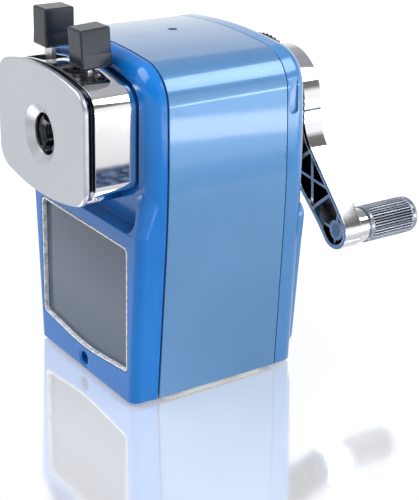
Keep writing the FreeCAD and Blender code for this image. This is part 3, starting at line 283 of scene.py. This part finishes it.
chrome, tree, shader = new_finish("bright_chrome")
shell_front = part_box("nose_shell")[0]
groove_width, groove_rise = 0.0022, 0.0072
side_edge, foot_edge = 0.0001, 0.0003
groove_rear = shell_front.y + groove_width
groove_foot = shell_front.z + groove_rise
# Painted shade: the groove behind the rim is coloured near black in place of chrome.
in_groove = product(tree,
                    along(tree, "Y", groove_rear + side_edge, groove_rear - side_edge),
                    along(tree, "Z", groove_foot - foot_edge, groove_foot + foot_edge))
bright = ramp(tree, grain(tree, 30, 3), [(0.3, (0.80, 0.81, 0.83)), (0.7, (0.88, 0.88, 0.89))])
groove_shade = ramp(tree, grain(tree, 200, 3), [(0.3, (0.010, 0.014, 0.030)),
                                          (0.7, (0.030, 0.036, 0.060))])
tree.links.new(blend(tree, in_groove, bright, groove_shade), shader.inputs["Base Color"])
wear(tree, shader, grain(tree, 80, 4), 0.02, 0.06)
shader.inputs["Metallic"].default_value = 1.0
relief(tree, shader, grain(tree, 60, 1), 0.000004, 0.0003)
skin(chrome, "nose", "chrome", "nose_shell")

satin, tree, shader = new_finish("satin_chrome")
tint(tree, shader, grain(tree, 18, 3), (0.40, 0.42, 0.455), (0.46, 0.48, 0.515))
wear(tree, shader, grain(tree, 250, 4), 0.30, 0.40)
shader.inputs["Metallic"].default_value = 0.85
relief(tree, shader, grain(tree, 3000, 2), 0.000006, 0.0003)
skin(satin, "nose", "satin_face", "face_plate")

# ---- Tabs, jaws and bayonet ring ------------------------------------------------
# Black moulded plastic with a fine spark-eroded texture and a soft shine on the
# corners. The tabs are pushed onto the levers that carry the jaws.
black, tree, shader = new_finish("black_moulding")
tint(tree, shader, grain(tree, 60, 4), (0.007, 0.010, 0.016), (0.014, 0.020, 0.030))
shader.inputs["Specular IOR Level"].default_value = 0.3
wear(tree, shader, grain(tree, 400, 3), 0.14, 0.24)
relief(tree, shader, grain(tree, 2500, 2), 0.000006, 0.0004)
skin(black, "left_clamp", "black_plastic", "left_tab", "left_jaw")
skin(black, "right_clamp", "black_plastic", "right_tab", "right_jaw")
skin(black, "cutter_unit", "black_plastic", "bayonet_ring")

# ---- Cutter unit ------------------------------------------------------------------
# Cast zinc carrier and ring gear, a bronze bush that the carrier turns in, and a
# ground tool-steel cutter with its pinion.
cast, tree, shader = new_finish("zinc_casting")
tint(tree, shader, grain(tree, 90, 5), (0.42, 0.43, 0.45), (0.56, 0.57, 0.59))
shader.inputs["Metallic"].default_value = 1.0
shader.inputs["Roughness"].default_value = 0.46
relief(tree, shader, grain(tree, 900, 4), 0.00002, 0.0003)
dress(cast, "cutter_carrier", "ring_gear")

bronze, tree, shader = new_finish("bush_bronze")
tint(tree, shader, grain(tree, 300, 4), (0.42, 0.26, 0.10), (0.56, 0.38, 0.17))
shader.inputs["Metallic"].default_value = 1.0
shader.inputs["Roughness"].default_value = 0.38
relief(tree, shader, grain(tree, 1400, 3), 0.00001, 0.0001)
dress(bronze, "bearing_bush")

ground, tree, shader = new_finish("ground_tool_steel")
tint(tree, shader, grain(tree, 220, 3), (0.30, 0.31, 0.33), (0.44, 0.45, 0.47))
shader.inputs["Metallic"].default_value = 1.0
shader.inputs["Roughness"].default_value = 0.28
relief(tree, shader, grain(tree, 2600, 2, (1, 0.1, 1)), 0.000006, 0.0001)
dress(ground, "helical_cutter", "cutter_pinion")

# ---- Crank arm and collar -----------------------------------------------------------
# Chromed moulding, with painted shade: an occlusion node darkens its colour to near black
# down inside the ribbed channel. The collar is a plain ring between the arm and the knob.
plated, tree, shader = new_finish("plated_arm")
# Painted shade: the colour turns near black where the occlusion node finds the channel hemmed
# in.
channel_shade = tree.nodes.new("ShaderNodeAmbientOcclusion")
channel_shade.samples = 8
channel_shade.inputs["Distance"].default_value = 0.006
tint(tree, shader, channel_shade.outputs["AO"], (0.04, 0.05, 0.08), (0.84, 0.85, 0.87), 0.25, 0.80)
wear(tree, shader, grain(tree, 80, 4), 0.04, 0.10)
shader.inputs["Metallic"].default_value = 1.0
relief(tree, shader, grain(tree, 60, 1), 0.000006, 0.0003)
skin(plated, "crank", "chrome", "crank_arm", "knob_collar")

# ---- Knob ---------------------------------------------------------------------------
# Dark metallic grip with painted shade down in its knurl: a barrel with a rounded end and
# straight knurled flutes along it. It replaces the plain barrel and turns with it.
grip, tree, shader = new_finish("knurled_grip")
ridges = ramp(tree, grain(tree, 150, 4), [(0.3, (0.270, 0.300, 0.360)),
                                         (0.7, (0.370, 0.400, 0.460))])
# Painted shade: the knurl is coloured near black between its flutes where an occlusion node
# finds it hemmed in; the ridges keep the grip's own colour.
knurl_groove_shade = ramp(tree, grain(tree, 300, 3), [(0.3, (0.006, 0.009, 0.016)),
                                          (0.7, (0.016, 0.020, 0.032))])
depth = tree.nodes.new("ShaderNodeAmbientOcclusion")
depth.inputs["Distance"].default_value = 0.0007
open_air = tree.nodes.new("ShaderNodeMapRange")
open_air.inputs["From Min"].default_value = 0.55
open_air.inputs["From Max"].default_value = 0.95
tree.links.new(depth.outputs["AO"], open_air.inputs["Value"])
tree.links.new(blend(tree, open_air.outputs["Result"], knurl_groove_shade, ridges),
               shader.inputs["Base Color"])
wear(tree, shader, grain(tree, 500, 3), 0.16, 0.26)
shader.inputs["Metallic"].default_value = 0.8
relief(tree, shader, grain(tree, 3000, 2), 0.000006)

low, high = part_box("crank_knob")
centre = (low + high) / 2
barrel_radius = (high.x - low.x) / 2
barrel_bore = 0.00225
start_chamfer, start_land = 0.0007, 0.0005
end_round, end_steps = 0.0018, 6
skin_gap, outer_band, weld_distance = 0.0001, 0.0003, 0.00001
dimple_depth, dimple_rim, dimple_floor = 0.0006, 0.42, 0.36
knurl_count, knurl_depth, steps_per_flute = 40, 0.00045, 6
flute_slope = 2.4
plain_band, band_fade = 0.0009, 0.0006

grip_radius = barrel_radius - skin_gap
profile = [(low.y, barrel_bore), (low.y, barrel_radius - start_chamfer)]
rows = 96
first, last = low.y + start_land, high.y - end_round
for row in range(rows + 1):
    profile.append((first + (last - first) * row / rows, grip_radius))
for step in range(1, end_steps + 1):
    turn = math.pi / 2 * step / end_steps
    profile.append((last + end_round * math.sin(turn),
                    grip_radius - end_round * (1 - math.cos(turn))))
profile += [(high.y, barrel_radius * dimple_rim),
            (high.y - dimple_depth, barrel_radius * dimple_floor),
            (high.y - dimple_depth, 0.0)]

mesh = bmesh.new()
corners = [mesh.verts.new((centre.x + r, y, centre.z)) for y, r in profile]
edges = [mesh.edges.new(pair) for pair in zip(corners, corners[1:])]
bmesh.ops.spin(mesh, geom=corners + edges, cent=(centre.x, 0, centre.z), axis=(0, 1, 0),
               dvec=(0, 0, 0), angle=2 * math.pi, steps=knurl_count * steps_per_flute,
               use_merge=True, use_duplicate=False)
bmesh.ops.remove_doubles(mesh, verts=mesh.verts, dist=weld_distance)
for vertex in mesh.verts:
    arm = Vector((vertex.co.x - centre.x, 0, vertex.co.z - centre.z))
    inside = min(vertex.co.y - first - plain_band, last - plain_band - vertex.co.y)
    if arm.length < barrel_radius - outer_band or inside < 0:
        continue
    around = math.atan2(arm.z, arm.x) / (2 * math.pi) * knurl_count
    ridge = abs(around % 1 - 0.5)
    fade = min(inside / band_fade, 1)
    vertex.co -= arm.normalized() * knurl_depth * fade * (1 - min(ridge * flute_slope, 1))
bmesh.ops.recalc_face_normals(mesh, faces=mesh.faces)
knob = new_piece("knurled_knob", mesh, grip)
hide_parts("crank_knob")
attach(knob, "knob")

# ---- Floor ---------------------------------------------------------------------------
# A plain white glossy sheet that mirrors the foot of the object, and glows a little
# so that it stays white.
gloss, tree, shader = new_finish("white_gloss_floor")
tint(tree, shader, grain(tree, 2, 2), (0.86, 0.86, 0.865), (0.89, 0.89, 0.895))
shader.inputs["Roughness"].default_value = 0.09
shader.inputs["Metallic"].default_value = 0.8
shader.inputs["Emission Color"].default_value = (1.0, 1.0, 1.0, 1.0)
shader.inputs["Emission Strength"].default_value = 0.30
floor_half = 4.0
mesh = bmesh.new()
bmesh.ops.create_grid(mesh, x_segments=1, y_segments=1, size=floor_half)
floor = new_piece("floor", mesh, gloss)

# ---- Flag ----------------------------------------------------------------------------
# A dark mottled card flat on the floor to the right, out of view, which the
# bright sides mirror as a dark band.
card, tree, shader = new_finish("flag_card")
tint(tree, shader, grain(tree, 260, 5), (0.010, 0.016, 0.045), (0.110, 0.150, 0.230), 0.40, 0.66)
shader.inputs["Roughness"].default_value = 0.8
shader.inputs["Specular IOR Level"].default_value = 0.0
flag_width, flag_length = 0.042, 0.30
flag_place = (0.201, 0.17, 0.0006)
mesh = bmesh.new()
bmesh.ops.create_grid(mesh, x_segments=1, y_segments=1, size=0.5)
bmesh.ops.scale(mesh, vec=(flag_width, flag_length, 1.0), verts=mesh.verts)
bmesh.ops.translate(mesh, vec=flag_place, verts=mesh.verts)
flag = new_piece("flag", mesh, card)
flag.visible_camera = False
flag.visible_shadow = False

# ---- Light ---------------------------------------------------------------------------
# A white studio whose surround darkens overhead, less so to the left, with a large
# soft box in front, two boxes on the right and a long low strip beside them.
world = bpy.data.worlds.new("studio")
bpy.context.scene.world = world
world.use_nodes = True
tree = world.node_tree
sky = tree.nodes["Background"]
place = tree.nodes.new("ShaderNodeTexCoord")
split = tree.nodes.new("ShaderNodeSeparateXYZ")
tree.links.new(place.outputs["Generated"], split.inputs["Vector"])
overhead = ramp(tree, split.outputs["Z"], [(0.0, (1.0, 1.0, 1.0)),
                                           (0.22, (1.0, 1.0, 1.0)),
                                           (0.34, (0.22, 0.21, 0.20)),
                                           (0.62, (0.12, 0.11, 0.11)),
                                           (1.0, (0.62, 0.62, 0.68))])
backdrop = ramp(tree, split.outputs["Z"], [(0.0, (1.0, 1.0, 1.0)),
                                           (0.30, (0.85, 0.85, 0.86)),
                                           (0.62, (0.40, 0.40, 0.42)),
                                           (1.0, (0.62, 0.62, 0.68))])
behind = tree.nodes.new("ShaderNodeMapRange")
behind.inputs["From Min"].default_value = -0.15
behind.inputs["From Max"].default_value = -0.45
tree.links.new(split.outputs["X"], behind.inputs["Value"])
tree.links.new(blend(tree, behind.outputs["Result"], overhead, backdrop),
               sky.inputs["Color"])
sky.inputs["Strength"].default_value = 1.10


def soft_light(name, place, aim, width, height, power):
    """An area light of some watts at a place in metres, turned towards a point."""
    lamp = bpy.data.lights.new(name, "AREA")
    lamp.shape = "RECTANGLE"
    lamp.size = width
    lamp.size_y = height
    lamp.energy = power
    item = bpy.data.objects.new(name, lamp)
    item.location = place
    item.rotation_euler = (Vector(aim) - Vector(place)).to_track_quat("-Z", "Y").to_euler()
    bpy.context.scene.collection.objects.link(item)
    return item


soft_light("soft_box", (-0.25, -0.45, 0.75), (0, 0, 0.05), 0.6, 0.6, 7)
side_box = soft_light("side_box", (0.65, 0.05, 0.55), (0, 0, 0.06), 0.5, 0.5, 6)
side_box.visible_glossy = False
soft_light("crank_box", (0.21, 0.21, 0.34), (0.03, 0.045, 0.06), 0.22, 0.18, 0.6)
soft_light("strip", (0.48, 0.25, 0.045), (0, 0.05, 0.075), 0.7, 0.03, 0.5)

# ---- Camera ---------------------------------------------------------------------------
# Above and to the right of the nose, looking down at the middle of the object
# through a long lens, with a slight roll.
eye = Vector((0.328238, -0.210578, 0.196163))
forward = Vector((-0.754741, 0.531833, -0.384083)).normalized()
roll = math.radians(1.61)
level_right = forward.cross(Vector((0, 0, 1))).normalized()
level_up = level_right.cross(forward)
right = level_right * math.cos(roll) + level_up * math.sin(roll)
up = level_up * math.cos(roll) - level_right * math.sin(roll)
camera_data = bpy.data.cameras.new("camera")
camera_data.sensor_width = 36.0
camera_data.lens = 93.95
camera_data.shift_x = -0.01458
camera_data.shift_y = 0.01142
camera_data.clip_start = 0.01
camera = bpy.data.objects.new("camera", camera_data)
pose = Matrix((right, up, -forward)).transposed().to_4x4()
pose.translation = eye
camera.matrix_world = pose
bpy.context.scene.collection.objects.link(camera)
bpy.context.scene.camera = camera
bpy.context.scene.view_settings.view_transform = "Standard"
